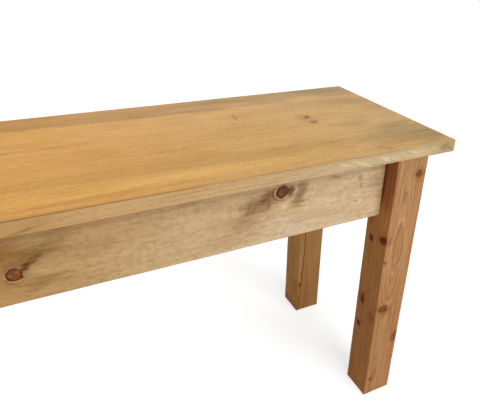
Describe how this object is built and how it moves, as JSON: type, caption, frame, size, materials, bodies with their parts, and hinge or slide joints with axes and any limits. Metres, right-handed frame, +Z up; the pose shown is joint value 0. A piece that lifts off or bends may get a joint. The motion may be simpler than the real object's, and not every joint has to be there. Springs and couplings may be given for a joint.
{
  "type": "wooden bench",
  "caption": "Long wooden bench with a plank seat on square legs, deep aprons set back under the seat, and hanger bolts through corner blocks.",
  "frame": {"origin": "on the floor under the middle of the bench, the centre of the bottom of its box", "axes": "+X along the bench towards the end that the picture shows, -Y towards the front, +Z up"},
  "size_m": [1.22, 0.298, 0.457],
  "materials": {
    "seat_pine": "honey oil, satin",
    "apron_pine": "pale wash, matt",
    "leg_pine": "brown oil, satin",
    "inner_pine": "planed, unfinished",
    "zinc_steel": "zinc plated"
  },
  "bodies": {
    "root": {"seat_plank": "seat_pine", "front_apron": "apron_pine", "back_apron": "apron_pine", "left_apron": "apron_pine", "right_apron": "apron_pine", "front_left_leg": "leg_pine", "front_right_leg": "leg_pine", "back_left_leg": "leg_pine", "back_right_leg": "leg_pine", "front_left_block": "inner_pine", "front_right_block": "inner_pine", "back_left_block": "inner_pine", "back_right_block": "inner_pine", "left_batten": "inner_pine", "middle_batten": "inner_pine", "right_batten": "inner_pine", "seat_buttons": "inner_pine", "hanger_bolts": "zinc_steel", "bolt_washers": "zinc_steel", "bolt_nuts": "zinc_steel", "block_screws": "zinc_steel", "batten_screws": "zinc_steel", "button_screws": "zinc_steel"}
  },
  "joints": []
}
